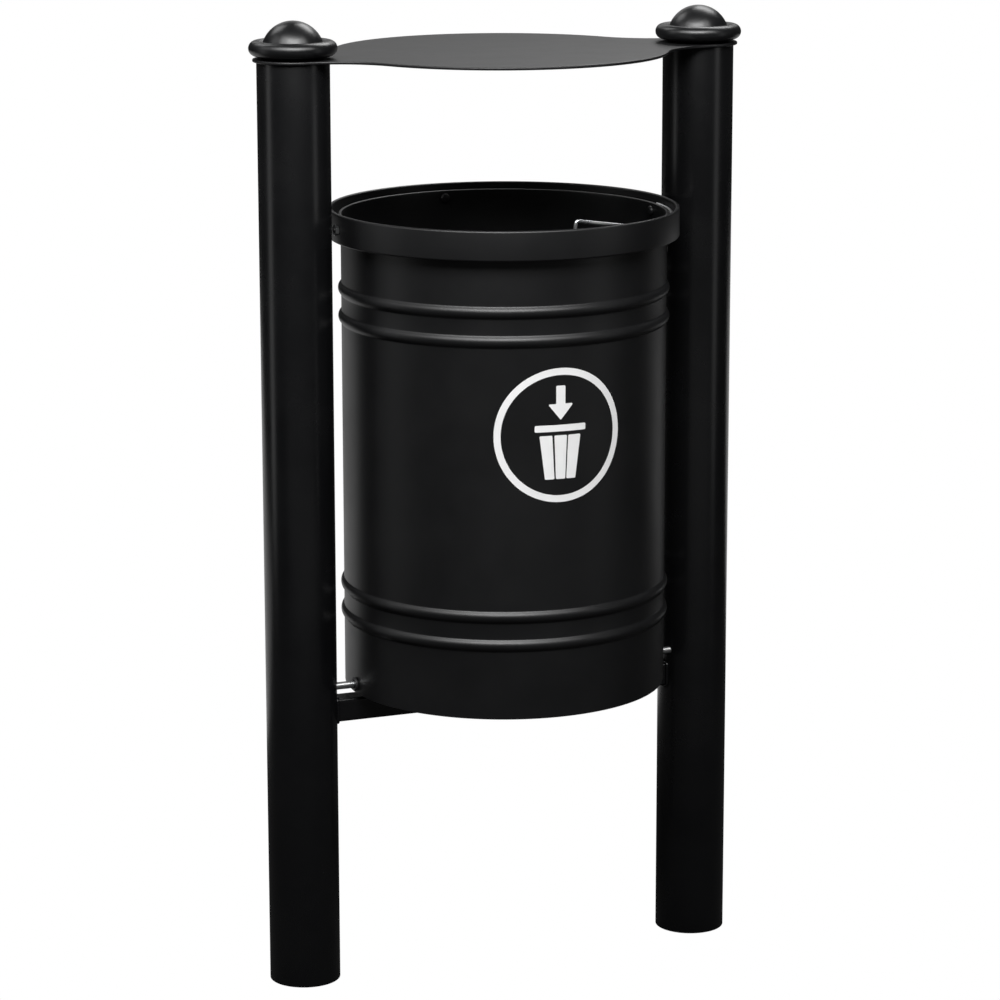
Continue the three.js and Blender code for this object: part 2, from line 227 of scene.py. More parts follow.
def tidy_mesh(name, verts, faces):
    """A closed mesh from millimetres, with shared corners and outward faces."""
    mesh = bpy.data.meshes.new(name)
    mesh.from_pydata([Vector(v) * MM for v in verts], [], faces)
    work = bmesh.new()
    work.from_mesh(mesh)
    bmesh.ops.remove_doubles(work, verts=work.verts, dist=1e-7)
    bmesh.ops.dissolve_degenerate(work, edges=work.edges, dist=1e-7)
    bmesh.ops.recalc_face_normals(work, faces=work.faces)
    work.to_mesh(mesh)
    work.free()
    return mesh


def turned(name, rows, facets=96, place=Matrix.Identity(4)):
    """Turns a closed profile about +Z. A row is (radius, height), or a function of the angle."""
    verts, faces = [], []
    count = len(rows)
    for j in range(facets):
        angle = 2 * math.pi * j / facets
        for row in rows:
            radius, height = row(angle) if callable(row) else row
            verts.append((radius * math.cos(angle), radius * math.sin(angle), height))
    for j in range(facets):
        k = (j + 1) % facets
        for i in range(count):
            m = (i + 1) % count
            ends = [rows[i], rows[m]]
            if all(not callable(e) and e[0] <= 1e-9 for e in ends):
                continue
            faces.append((j * count + i, k * count + i, k * count + m, j * count + m))
    mesh = tidy_mesh(name, verts, faces)
    mesh.transform(place)
    return mesh


def along_x(point, azimuth=0.0):
    """Stands a turned piece's +Z along +X, turned by the azimuth, at a point in metres."""
    return (
        Matrix.Translation(point)
        @ Matrix.Rotation(azimuth, 4, "Z")
        @ Matrix.Rotation(math.pi / 2, 4, "Y")
    )


def drill_rod(radius, start, end, facets, place):
    """What a drill takes out, from start to end in millimetres along its place's +Z."""
    return turned("drill", [(0, start), (radius, start), (radius, end), (0, end)], facets, place)


def drilled(mesh, drills):
    """The mesh with each drill's shape taken out of it."""
    blank = bpy.data.objects.new("blank", mesh)
    scene.collection.objects.link(blank)
    tools = []
    for drill in drills:
        tool = bpy.data.objects.new("drill", drill)
        scene.collection.objects.link(tool)
        cut = blank.modifiers.new("cut", "BOOLEAN")
        cut.operation, cut.solver, cut.object = "DIFFERENCE", "EXACT", tool
        tools.append(tool)
    bpy.context.view_layer.update()
    graph = bpy.context.evaluated_depsgraph_get()
    result = bpy.data.meshes.new_from_object(blank.evaluated_get(graph))
    for spare in [blank, *tools]:
        bpy.data.objects.remove(spare)
    return result


def fit_piece(name, mesh, finish, body, slot, *stands_for, sharp=35, edge=0, flat_weight=True):
    """Shades a finished mesh, gives it its finish and mounts it on its body. Edge is the
    radius in millimetres that its sharp edges are broken to."""
    mesh.name = name
    mesh.materials.clear()
    mesh.materials.append(finish)
    for face in mesh.polygons:
        face.use_smooth = True
        face.material_index = 0
    mesh.set_sharp_from_angle(angle=math.radians(sharp))
    piece = bpy.data.objects.new(name, mesh)
    scene.collection.objects.link(piece)
    if edge:
        broken = piece.modifiers.new("broken_edges", "BEVEL")
        broken.width, broken.segments = edge * MM, 3
        broken.limit_method, broken.angle_limit = "ANGLE", math.radians(sharp)
        broken.harden_normals = True
    if flat_weight:
        even = piece.modifiers.new("even_normals", "WEIGHTED_NORMAL")
        even.keep_sharp = True
    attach(piece, body)
    if stands_for:
        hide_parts(*stands_for)
    return piece


def noise(nodes, links, coordinates, scale, detail=2.0, roughness=0.5):
    texture = nodes.new("ShaderNodeTexNoise")
    texture.inputs["Scale"].default_value = scale
    texture.inputs["Detail"].default_value = detail
    texture.inputs["Roughness"].default_value = roughness
    links.new(coordinates, texture.inputs["Vector"])
    return texture.outputs["Fac"]


def between(nodes, links, value, low, high, start=0.25, end=0.75):
    """Spreads a noise value over a range."""
    spread = nodes.new("ShaderNodeMapRange")
    spread.inputs["From Min"].default_value = start
    spread.inputs["From Max"].default_value = end
    spread.inputs["To Min"].default_value = low
    spread.inputs["To Max"].default_value = high
    links.new(value, spread.inputs["Value"])
    return spread.outputs["Result"]


def tinted(nodes, links, value, dark, light):
    ramp = nodes.new("ShaderNodeValToRGB")
    ramp.color_ramp.elements[0].position = 0.3
    ramp.color_ramp.elements[0].color = (*dark, 1)
    ramp.color_ramp.elements[1].position = 0.7
    ramp.color_ramp.elements[1].color = (*light, 1)
    links.new(value, ramp.inputs["Fac"])
    return ramp.outputs["Color"]


def relief(nodes, links, layers):
    """Stacks bumps, each (height value, depth in millimetres), into one normal."""
    normal = None
    for value, depth in layers:
        bump = nodes.new("ShaderNodeBump")
        bump.inputs["Strength"].default_value = 1.0
        bump.inputs["Distance"].default_value = depth * MM
        links.new(value, bump.inputs["Height"])
        if normal is not None:
            links.new(normal, bump.inputs["Normal"])
        normal = bump.outputs["Normal"]
    return normal


def new_finish(name):
    finish = bpy.data.materials.new(name)
    nodes, links = nodes_of(finish)
    shader = nodes.new("ShaderNodeBsdfPrincipled")
    output = nodes.new("ShaderNodeOutputMaterial")
    links.new(shader.outputs[0], output.inputs["Surface"])
    coordinates = nodes.new("ShaderNodeTexCoord").outputs["Object"]
    return finish, nodes, links, shader, coordinates


def powder_coat(name, gloss, peel=0.011, sag=0.03):
    """Satin black powder: gloss is its roughness, peel and sag its relief in millimetres."""
    finish, nodes, links, shader, where = new_finish(name)
    cloud = noise(nodes, links, where, 11, 4, 0.6)
    fine = noise(nodes, links, where, 540, 2, 0.45)
    slow = noise(nodes, links, where, 46, 2, 0.5)
    nibs = nodes.new("ShaderNodeTexVoronoi")
    nibs.inputs["Scale"].default_value = 95
    links.new(where, nibs.inputs["Vector"])
    nib = between(nodes, links, nibs.outputs["Distance"], 1, 0, 0.0, 0.045)
    links.new(tinted(nodes, links, cloud, (0.0026, 0.0027, 0.0031), (0.0042, 0.0043, 0.0047)),
              shader.inputs["Base Color"])
    links.new(between(nodes, links, cloud, gloss - 0.035, gloss + 0.035), shader.inputs["Roughness"])
    links.new(relief(nodes, links, [(slow, sag), (fine, peel), (nib, 0.02)]), shader.inputs["Normal"])
    shader.inputs["IOR"].default_value = 1.5
    return finish


post_coat = powder_coat("black_powder_coat_on_tube", 0.26)
pivot_point = {side: middle(side + "_pivot_nut") for side in ("left", "right")}
lock_point = middle("lock_bolt")
for side in ("left", "right"):
    post = middle(side + "_post")
    tall = size_of(side + "_post").z
    outer = size_of(side + "_post").y / 2
    hole_rows = PIVOT_ROWS + (LOCK_ROWS if side == "right" else [])
    profile = rounded([
        (outer - POST_WALL, 0, 0.5), (outer, 0, 0.6), *[(outer, z, 0) for z in hole_rows],
        (outer, tall, 0.6), (outer - POST_WALL, tall, 0.5),
        *[(outer - POST_WALL, z, 0) for z in reversed(hole_rows)],
    ], steps=3)
    tube = turned(side + "_post", profile, POST_FACETS, Matrix.Translation((post.x, post.y, 0)))
    inward = 1 if side == "left" else -1
    holes = [(PIVOT_HOLE, pivot_point[side], inward)]
    if side == "right":
        holes += [(LOCK_GUIDE_HOLE, lock_point, -1), (LOCK_HOUSING_HOLE, lock_point, 1)]
    drills = []
    for radius, point, way in holes:
        place = along_x(Vector((post.x, point.y, point.z)), 0.0 if way > 0 else math.pi)
        drills.append(drill_rod(radius, 5, outer + 5, 40, place))
    fit_piece(side + "_post_tube", drilled(tube, drills), post_coat, "frame", "black_powder_coat",
              side + "_post", flat_weight=False)


# ---------------------------------------------------------------- crossbar
# A 25 mm square steel tube between the posts, just under the bucket. Its ends are coped
# to the round of the posts and fillet welded all the way round before coating.
BAR_WALL = 2
BAR_CORNER = 3
WELD_R = 1.7
WELD_RIPPLE = 3.1
WELD_STEP = 0.8


def resampled(points, spacing, loop=False):
    """The same line with its points evenly spaced, about that far apart."""
    line = [Vector(p) for p in points] + ([Vector(points[0])] if loop else [])
    runs = [(b - a).length for a, b in zip(line, line[1:])]
    total = sum(runs)
    count = max(2, round(total / spacing))
    even, i, walked = [], 0, 0.0
    for k in range(count if loop else count + 1):
        target = total * k / count
        while i < len(runs) - 1 and walked + runs[i] < target:
            walked += runs[i]
            i += 1
        even.append(line[i].lerp(line[i + 1], min(1, (target - walked) / max(runs[i], 1e-9))))
    return even


def swept(name, path, radius, sides=12, loop=False):
    """A round bar bent along a path. Radius is a number, or a function of the point's index."""
    path = [Vector(p) for p in path]
    count = len(path)
    if loop:
        headings = [(path[(i + 1) % count] - path[i - 1]).normalized() for i in range(count)]
    else:
        headings = [(path[min(i + 1, count - 1)] - path[max(i - 1, 0)]).normalized() for i in range(count)]
    side = headings[0].orthogonal().normalized()
    sides_at = []
    for i, heading in enumerate(headings):
        if i:
            side = headings[i - 1].rotation_difference(heading) @ side
        side = (side - heading * side.dot(heading)).normalized()
        sides_at.append(side)
    verts, faces = [], []

    def hoop(centre, heading, side, reach):
        up = heading.cross(side)
        for k in range(sides):
            turn = 2 * math.pi * k / sides
            verts.append(centre + (side * math.cos(turn) + up * math.sin(turn)) * reach)

    reach_at = [radius(i) if callable(radius) else radius for i in range(count)]
    if not loop:
        hoop(path[0] - headings[0] * reach_at[0] * 0.12, headings[0], sides_at[0], reach_at[0] * 0.82)
    for i in range(count):
        hoop(path[i], headings[i], sides_at[i], reach_at[i])
    if not loop:
        hoop(path[-1] + headings[-1] * reach_at[-1] * 0.12, headings[-1], sides_at[-1], reach_at[-1] * 0.82)
    hoops = len(verts) // sides
    for i in range(hoops if loop else hoops - 1):
        m = (i + 1) % hoops
        for k in range(sides):
            n = (k + 1) % sides
            faces.append((i * sides + k, i * sides + n, m * sides + n, m * sides + k))
    if not loop:
        faces.append(tuple(range(sides))[::-1])
        faces.append(tuple((hoops - 1) * sides + k for k in range(sides)))
    return tidy_mesh(name, verts, faces)


def welded(name, path, radius=WELD_R, loop=False):
    """A weld bead: a run of overlapping ripples along a joint, in millimetres."""
    even = resampled(path, WELD_STEP, loop)
    count = len(even)
    ripples = max(1, round(count * WELD_STEP / WELD_RIPPLE))

    def bead_r(i):
        ripple = 0.10 * abs(math.sin(math.pi * ripples * i / count))
        return radius * (1 + ripple + 0.05 * math.sin(i * 1.7))

    return swept(name, even, bead_r, 10, loop)


def joined(name, meshes):
    """Several closed meshes as one."""
    work = bmesh.new()
    for mesh in meshes:
        work.from_mesh(mesh)
    whole = bpy.data.meshes.new(name)
    work.to_mesh(whole)
    work.free()
    return whole


bar = middle("crossbar") / MM
bar_half = size_of("crossbar").z / 2
post_centre = middle("right_post") / MM
post_r = size_of("right_post").y / 2


def cope(across, clearance=0.3):
    """How far from the middle the bar's end lies, at a distance from the posts' plane."""
    return post_centre.x - math.sqrt((post_r + clearance) ** 2 - across ** 2)


def square_outline(half, corner):
    steps = (-0.6, -0.3, 0, 0.3, 0.6)
    sides = []
    for turn in range(4):
        c, s = [(1, 0), (0, 1), (-1, 0), (0, -1)][turn]
        edge = [(half, -half, corner)] + [(half, half * t, 0) for t in steps]
        sides += [(c * a - s * b, s * a + c * b, r) for a, b, r in edge]
    return rounded(sides)


bar_outer = square_outline(bar_half, BAR_CORNER)
bar_inner = square_outline(bar_half - BAR_WALL, BAR_CORNER - BAR_WALL)
verts, faces = [], []
count = len(bar_outer)
for outline in (bar_outer, bar_inner):
    for end in (-1, 1):
        verts += [(end * cope(across), bar.y + across, bar.z + up) for across, up in outline]
for i in range(count):
    k = (i + 1) % count
    left_out, right_out, left_in, right_in = (n * count for n in range(4))
    faces.append((left_out + i, left_out + k, right_out + k, right_out + i))
    faces.append((left_in + i, right_in + i, right_in + k, left_in + k))
    faces.append((left_out + i, left_in + i, left_in + k, left_out + k))
    faces.append((right_out + i, right_out + k, right_in + k, right_in + i))
fit_piece("crossbar_tube", tidy_mesh("crossbar_tube", verts, faces), post_coat, "frame",
          "black_powder_coat", "crossbar")

for side, end in (("left", -1), ("right", 1)):
    line = [
        (end * (cope(across, 0.0) - 0.5), bar.y + across, bar.z + up)
        for across, up in square_outline(bar_half + 0.5, BAR_CORNER)
    ]
    fit_piece(side + "_crossbar_weld", welded("weld", line, loop=True), post_coat, "frame",
              "black_powder_coat", sharp=60)


# ---------------------------------------------------------------- buffers
# Two black rubber buttons pressed into the crossbar. The bucket's floor leans back on
# them, so they are moulded with a domed head and a small mould line.
def moulded(name, colour, roughness, grain, depth):
    """Rubber or nylon as it leaves the mould: matt, with a fine spark-eroded grain."""
    finish, nodes, links, shader, where = new_finish(name)
    cloud = noise(nodes, links, where, 60, 3)
    fine = noise(nodes, links, where, grain, 3, 0.6)
    links.new(tinted(nodes, links, cloud, tuple(c * 0.8 for c in colour), tuple(c * 1.25 for c in colour)),
              shader.inputs["Base Color"])
    links.new(between(nodes, links, fine, roughness - 0.06, roughness + 0.06), shader.inputs["Roughness"])
    links.new(relief(nodes, links, [(fine, depth)]), shader.inputs["Normal"])
    shader.inputs["IOR"].default_value = 1.46
    return finish


rubber = moulded("black_rubber", (0.012, 0.012, 0.012), 0.72, 900, 0.03)
BUFFER_STEM = 5
for side in ("left", "right"):
    centre = middle(side + "_buffer")
    low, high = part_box(side + "_buffer")
    seat = low.z / MM + BUFFER_STEM
    top, head_r = high.z / MM, size_of(side + "_buffer").x / 2
    profile = rounded([
        (0, seat, 0), (head_r - 0.3, seat, 0.4), (head_r - 0.3, seat + 1.2, 0.2),
        (head_r, seat + 1.3, 0.1), (head_r, seat + 1.7, 0.1), (head_r - 0.3, seat + 1.8, 0.2),
        (head_r - 0.5, top - 0.5, 1.4), (2.2, top, 0.5), (2.0, top - 0.7, 0.3), (0, top - 0.7, 0),
    ])
    button = turned("buffer", profile, 64, Matrix.Translation((centre.x, centre.y, 0)))
    fit_piece(side + "_buffer_button", button, rubber, "frame", "black_rubber", side + "_buffer")


# ---------------------------------------------------------------- roof
# One flat 3 mm steel plate, laser cut as a disc with a round lug for each post. Hollow
# fillets join the lugs to the disc, and the edges are ground round before coating.
ROOF_LUG_R = 42
ROOF_FILLET_R = 80
ROOF_STUD_HOLE = 5.5
roof_low, roof_high = (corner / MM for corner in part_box("roof_plate"))
roof = middle("roof_plate") / MM
roof_r = (roof_high.y - roof_low.y) / 2
lug_x = post_centre.x
reach, lug_reach = roof_r + ROOF_FILLET_R, ROOF_LUG_R + ROOF_FILLET_R
fillet_x = (reach ** 2 - lug_reach ** 2 + lug_x ** 2) / (2 * lug_x)
fillet_y = math.sqrt(reach ** 2 - fillet_x ** 2)
disc_angle = math.atan2(fillet_y, fillet_x)
lug_angle = math.atan2(fillet_y, fillet_x - lug_x)


def arc(centre, radius, start, end, steps):
    angles = [start + (end - start) * k / steps for k in range(steps + 1)]
    return [(centre[0] + radius * math.cos(a), centre[1] + radius * math.sin(a)) for a in angles]


quarter = (
    arc((lug_x, 0), ROOF_LUG_R, 0, lug_angle, 20)
    + arc((fillet_x, fillet_y), ROOF_FILLET_R, lug_angle - math.pi, disc_angle - math.pi, 12)[1:]
    + arc((0, 0), roof_r, disc_angle, math.pi / 2, 22)[1:]
)
half_outline = quarter + [(-x, y) for x, y in reversed(quarter[:-1])]
outline = half_outline + [(x, -y) for x, y in reversed(half_outline[1:-1])]


def plate(name, outline, low, high):
    """A flat plate of that outline, in millimetres."""
    count = len(outline)
    verts = [(x, y, z) for z in (low, high) for x, y in outline]
    faces = [tuple(range(count))[::-1], tuple(range(count, 2 * count))]
    faces += [(i, (i + 1) % count, count + (i + 1) % count, count + i) for i in range(count)]
    return tidy_mesh(name, verts, faces)


roof_blank = plate("roof", [(roof.x + x, roof.y + y) for x, y in outline], roof_low.z, roof_high.z)
roof_drills = []
for end in (-1, 1):
    place = Matrix.Translation(Vector((end * lug_x, roof.y, roof.z)) * MM)
    roof_drills.append(drill_rod(ROOF_STUD_HOLE, -5, 5, 32, place))
roof_coat = powder_coat("black_powder_coat_on_plate", 0.42, sag=0.05)
fit_piece("roof_sheet", drilled(roof_blank, roof_drills), roof_coat, "frame", "black_powder_coat",
          "roof_plate", sharp=50, edge=0.9)


# ---------------------------------------------------------------- finials
# Two cast iron caps, a dome standing in a round ring, fettled and powder coated. Each
# screws down on a stud in its post and clamps the roof's lug. The cast skin is coarser
# than the tube's.
FINIAL_BASE_R = 33
FINIAL_RING_R = 38.0
FINIAL_RING_HEIGHT = 10.4
FINIAL_RING_TUBE_R = 8.0
FINIAL_DOME_HEIGHT = 5.5
FINIAL_DOME_R = 33
FINIAL_BORE = 5.3
FINIAL_BORE_DEPTH = 20


def cast_iron(name):
    finish, nodes, links, shader, where = new_finish(name)
    cloud = noise(nodes, links, where, 26, 4, 0.6)
    skin = noise(nodes, links, where, 230, 4, 0.62)
    fine = noise(nodes, links, where, 620, 2, 0.5)
    links.new(tinted(nodes, links, cloud, (0.0028, 0.0029, 0.0033), (0.0050, 0.0051, 0.0056)),
              shader.inputs["Base Color"])
    links.new(between(nodes, links, cloud, 0.29, 0.37), shader.inputs["Roughness"])
    links.new(relief(nodes, links, [(skin, 0.07), (fine, 0.02)]), shader.inputs["Normal"])
    shader.inputs["IOR"].default_value = 1.5
    return finish


cast = cast_iron("black_coated_cast_iron")
ring_arc = arc((FINIAL_RING_R, FINIAL_RING_HEIGHT), FINIAL_RING_TUBE_R,
               math.radians(-122), math.radians(137), 40)
dome_arc = arc((0, FINIAL_DOME_HEIGHT), FINIAL_DOME_R, math.radians(18.5), math.radians(90), 28)
ring_foot, dome_foot = ring_arc[-1], dome_arc[0]
groove_r = ring_foot[0] * 0.5 + dome_foot[0] * 0.5 - 0.25
groove_z = min(ring_foot[1], dome_foot[1]) - 0.3
groove = rounded([(*ring_foot, 0), (groove_r, groove_z, 0.8), (*dome_foot, 0)], loop=False)
finial_profile = [
    (0, FINIAL_BORE_DEPTH), (FINIAL_BORE, FINIAL_BORE_DEPTH), (FINIAL_BORE, 0.6), (FINIAL_BORE + 0.6, 0),
    (FINIAL_BASE_R - 0.5, 0), (FINIAL_BASE_R, 0.4), *ring_arc[1:-1], *groove[1:-1], *dome_arc[:-1],
    (0, FINIAL_DOME_HEIGHT + FINIAL_DOME_R),
]
for side in ("left", "right"):
    low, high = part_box(side + "_finial")
    centre = middle(side + "_finial")
    cap = turned("finial", finial_profile, 128, Matrix.Translation((centre.x, centre.y, low.z)))
    fit_piece(side + "_finial_cap", cap, cast, "frame", "black_cast_iron", side + "_finial",
              flat_weight=False)


# ---------------------------------------------------------------- studs and top plates
# Inside each post top a coated steel plate carries a zinc plated M10 stud and its nut,
# which the finial screws down on. All of it is out of sight when the bin is put together.
def zinc_plate(name, polish=0.27):
    """Bright zinc with its faint blue passivation, drawing marks and handling haze."""
    finish, nodes, links, shader, where = new_finish(name)
    cloud = noise(nodes, links, where, 75, 4, 0.6)
    drawn = nodes.new("ShaderNodeMapping")
    drawn.inputs["Scale"].default_value = (60, 900, 900)
    links.new(where, drawn.inputs["Vector"])
    marks = noise(nodes, links, drawn.outputs["Vector"], 2.2, 3, 0.6)
    links.new(tinted(nodes, links, cloud, (0.50, 0.52, 0.55), (0.66, 0.66, 0.64)),
              shader.inputs["Base Color"])
    links.new(between(nodes, links, cloud, polish - 0.07, polish + 0.12), shader.inputs["Roughness"])
    links.new(relief(nodes, links, [(marks, 0.004)]), shader.inputs["Normal"])
    shader.inputs["Metallic"].default_value = 1.0
    return finish


def refinish(node, finish):
    """Puts a finish on a piece that shows as the frame has it."""
    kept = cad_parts[node]
    kept.data.materials.clear()
    kept.data.materials.append(finish)


zinc = zinc_plate("bright_zinc")
for side in ("left", "right"):
    refinish(side + "_finial_stud", zinc)
    refinish(side + "_stud_nut", zinc)
    refinish(side + "_top_plate", post_coat)


# ---------------------------------------------------------------- bucket
# The bucket is rolled from 1.5 mm steel sheet, butt welded down its back, stiffened by
# two pairs of swaged beads and hemmed at the rim. Its sheet waves a little, as rolled
# sheet does, so its coat is less glassy than the tube's.
BEAD_HEIGHTS = [79.4, 109.7, 400.2, 430.4]
BEAD_HALF_WIDTH = 6.2
BEAD_RISE = 3.3
BEAD_SHOULDER = 0.06
SHEET = 1.5
HEM_RISE = 2
HEM_HEIGHT = 4
SEAM_AZIMUTH = 106
BUCKET_FACETS = 192
BAND_BOLT_HOLE = 3.3
PIVOT_BUSH_HOLE = 6.2
shell_low, shell_high = (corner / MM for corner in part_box("bucket_shell"))
shell = middle("bucket_shell") / MM
bucket_r = shell_high.x - BEAD_RISE
bucket_tall = shell_high.z - shell_low.z
bucket_axis = Matrix.Translation(Vector((shell.x, shell.y, shell_low.z)) * MM)


def bead(t):
    """How far a bead stands out of the wall, t going from -1 to 1 across it."""
    return BEAD_RISE * (1 - abs(t) ** 2.2)


def round_bucket(radius, angle, height):
    """A point about the bucket's axis, in millimetres."""
    return (shell.x + radius * math.cos(angle), shell.y + radius * math.sin(angle), height)


def band_bolt_drills(start, end):
    """Drills for the band bolts at the right, the back and the left."""
    centre = Vector((shell.x * MM, shell.y * MM, middle("back_band_bolt").z))
    return [
        drill_rod(BAND_BOLT_HOLE, start, end, 24, along_x(centre, azimuth))
        for azimuth in (0, math.pi / 2, math.pi)
    ]


wall = [(0.0, 0.0)]
for height in BEAD_HEIGHTS:
    wall.append((0.0, height - BEAD_HALF_WIDTH - 1.2))
    wall.append((BEAD_SHOULDER, height - BEAD_HALF_WIDTH - 0.35))
    for k in range(-9, 10):
        wall.append((bead(k / 9) + (0.28 if abs(k) == 9 else 0), height + BEAD_HALF_WIDTH * k / 9))
    wall.append((BEAD_SHOULDER, height + BEAD_HALF_WIDTH + 0.35))
    wall.append((0.0, height + BEAD_HALF_WIDTH + 1.2))
wall.append((0.0, bucket_tall - HEM_HEIGHT - 1))
profile = [(bucket_r - SHEET, 0.4), (bucket_r - SHEET + 0.35, 0), (bucket_r - 0.45, 0), (bucket_r, 0.5)]
profile += [(bucket_r + rise, height) for rise, height in wall[1:]]
profile += rounded([
    (bucket_r, bucket_tall - HEM_HEIGHT, 0.3), (bucket_r + HEM_RISE, bucket_tall - HEM_HEIGHT, 1.1),
    (bucket_r + HEM_RISE, bucket_tall, 1.5), (bucket_r - SHEET, bucket_tall, 1.5),
    (bucket_r - SHEET, bucket_tall - 6, 0),
], loop=False, steps=6)[1:]
profile += [(bucket_r - SHEET + rise, height) for rise, height in reversed(wall[1:-1])]
bucket_blank = turned("bucket", profile, BUCKET_FACETS, bucket_axis)
shell_drills = band_bolt_drills(160, 180)
pivot = middle("right_pivot_bush")
for azimuth in (0, math.pi):
    place = along_x(Vector((0, pivot.y, pivot.z)), azimuth)
    shell_drills.append(drill_rod(PIVOT_BUSH_HOLE, 160, 180, 32, place))
sheet_coat = powder_coat("black_powder_coat_on_sheet", 0.42, sag=0.045)
fit_piece("bucket_wall", drilled(bucket_blank, shell_drills), sheet_coat, "bucket", "black_powder_coat",
          "bucket_shell", flat_weight=False)

seam_verts, seam_faces = [], []
seam_section = [(-2.6, -0.5), (-2.6, 0.02), (-1.4, 0.28), (0, 0.38), (1.4, 0.28), (2.6, 0.02), (2.6, -0.5)]
seam_line = [(rise, height) for rise, height in wall if 2 < height < bucket_tall - HEM_HEIGHT - 2]
seam_line = [(0.0, 2.0)] + seam_line + [(0.0, bucket_tall - HEM_HEIGHT - 2)]
smooth_line = [Vector(seam_line[0])]
for a, b in zip(seam_line, seam_line[1:]):
    steps = max(1, round((Vector(b) - Vector(a)).length / 3))
    smooth_line += [Vector(a).lerp(Vector(b), k / steps) for k in range(1, steps + 1)]
across = len(seam_section)
for i, (rise, height) in enumerate(smooth_line):
    ripple = 1 + 0.35 * math.sin(i * 2.1)
    for offset, proud in seam_section:
        turn = math.radians(SEAM_AZIMUTH) + offset / bucket_r
        radius = bucket_r + rise + (proud * ripple if proud > 0 else proud)
        seam_verts.append(round_bucket(radius, turn, shell_low.z + height))
for i in range(len(smooth_line) - 1):
    for k in range(across):
        m = (k + 1) % across
        seam_faces.append((i * across + k, i * across + m, (i + 1) * across + m, (i + 1) * across + k))
last_row = (len(smooth_line) - 1) * across
seam_faces += [tuple(range(across)), tuple(last_row + k for k in range(across))[::-1]]
fit_piece("bucket_seam", tidy_mesh("seam", seam_verts, seam_faces), sheet_coat, "bucket",
          "black_powder_coat", sharp=60, flat_weight=False)


# ---------------------------------------------------------------- bucket floor
# A pressed disc of the same sheet, flush with the bottom edge, drained by five holes and
# held by short welds to the wall inside.
DRAIN_R = 5
DRAIN_CIRCLE = 100
TACKS = 8
TACK_R = 1.5
floor_low, floor_high = (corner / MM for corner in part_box("bucket_floor"))
floor_r = bucket_r - SHEET - 0.3
floor_axis = Matrix.Translation(Vector((shell.x, shell.y, floor_low.z)) * MM)
tray_rows = [
    (0, 0), (floor_r - 0.3, 0), (floor_r, 0.3), (floor_r, SHEET - 0.3), (floor_r - 0.3, SHEET), (0, SHEET),
]
tray = turned("floor", tray_rows, BUCKET_FACETS, floor_axis)
drains = [drill_rod(DRAIN_R, -3, 4, 32, floor_axis)]
for k in range(4):
    turn = math.radians(45 + 90 * k)
    across, along = DRAIN_CIRCLE * math.cos(turn), DRAIN_CIRCLE * math.sin(turn)
    offset = Matrix.Translation((across * MM, along * MM, 0))
    drains.append(drill_rod(DRAIN_R, -3, 4, 32, floor_axis @ offset))
fit_piece("bucket_tray", drilled(tray, drains), sheet_coat, "bucket", "black_powder_coat", "bucket_floor")
tacks = []
for k in range(TACKS):
    turns = [math.radians(360 / TACKS * (k + 0.5) + step) for step in (-3, -2, -1, 0, 1, 2, 3)]
    line = [round_bucket(floor_r - 0.6, t, floor_high.z + 0.3) for t in turns]
    tacks.append(welded("tack", line, TACK_R))
fit_piece("bucket_floor_welds", joined("tacks", tacks), sheet_coat, "bucket", "black_powder_coat",
          sharp=60)


# ---------------------------------------------------------------- rim band
# A flat steel hoop round the bucket's mouth, rolled from round-edged bar. It stands a
# little above and outside the rim, so that the bag's edge can be folded down behind it.
BAND_THICKNESS = 4.4
BAND_EDGE = 2.15
BAND_DROP = 2
BAND_SEAM_AZIMUTH = 99
band_low, band_high = (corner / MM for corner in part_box("rim_band"))
band_r = (band_high.x - band_low.x) / 2
band_coat = powder_coat("black_powder_coat_on_bar", 0.43, sag=0.03)
band_foot = band_low.z - BAND_DROP
band_profile = rounded([
    (band_r - BAND_THICKNESS, band_foot, BAND_EDGE), (band_r, band_foot, BAND_EDGE),
    (band_r, band_high.z, BAND_EDGE), (band_r - BAND_THICKNESS, band_high.z, BAND_EDGE),
], steps=6)
band_axis = Matrix.Translation((shell.x * MM, shell.y * MM, 0))
hoop_blank = turned("band", band_profile, BUCKET_FACETS, band_axis)
fit_piece("rim_band_hoop", drilled(hoop_blank, band_bolt_drills(176, 195)), band_coat, "bucket",
          "black_powder_coat", "rim_band", flat_weight=False)
turn = math.radians(BAND_SEAM_AZIMUTH)
line = [round_bucket(band_r - 0.95, turn, z) for z in (band_foot + 2, band_high.z - 2)]
fit_piece("rim_band_weld", welded("weld", line, 1.35), band_coat, "bucket", "black_powder_coat", sharp=60)


# ---------------------------------------------------------------- band fixings
# Left, right and back, an M6 domed bolt passes from inside the bucket through a spacer
# tube and the band into a plain hexagon nut. The bolts are coated black with the bucket,
# and the spacers and nuts are zinc plated.
BOLT_R = 3
HEAD_R = 5.5
NUT_CORNER = 5.8


def hexagon(corner, low, high, bore=0.0):
    """Rows of a hexagon nut or head whose corners are chamfered as a turned one's are."""
    flat = corner * math.cos(math.pi / 6)
    chamfer_start = flat * 0.97

    def reach_at(angle):
        return flat / math.cos((angle % (math.pi / 3)) - math.pi / 6)

    def drop_at(angle):
        return (reach_at(angle) - chamfer_start) * math.tan(math.radians(30))

    rows = [
        (chamfer_start, low),
        lambda angle: (reach_at(angle), low + drop_at(angle)),
        lambda angle: (reach_at(angle), high - drop_at(angle)),
        (chamfer_start, high),
    ]
    if bore:
        rows = [(bore, low + 0.5), (bore + 0.5, low), *rows, (bore + 0.5, high), (bore, high - 0.5)]
    else:
        rows = [(0, low), *rows, (0, high)]
    return rows


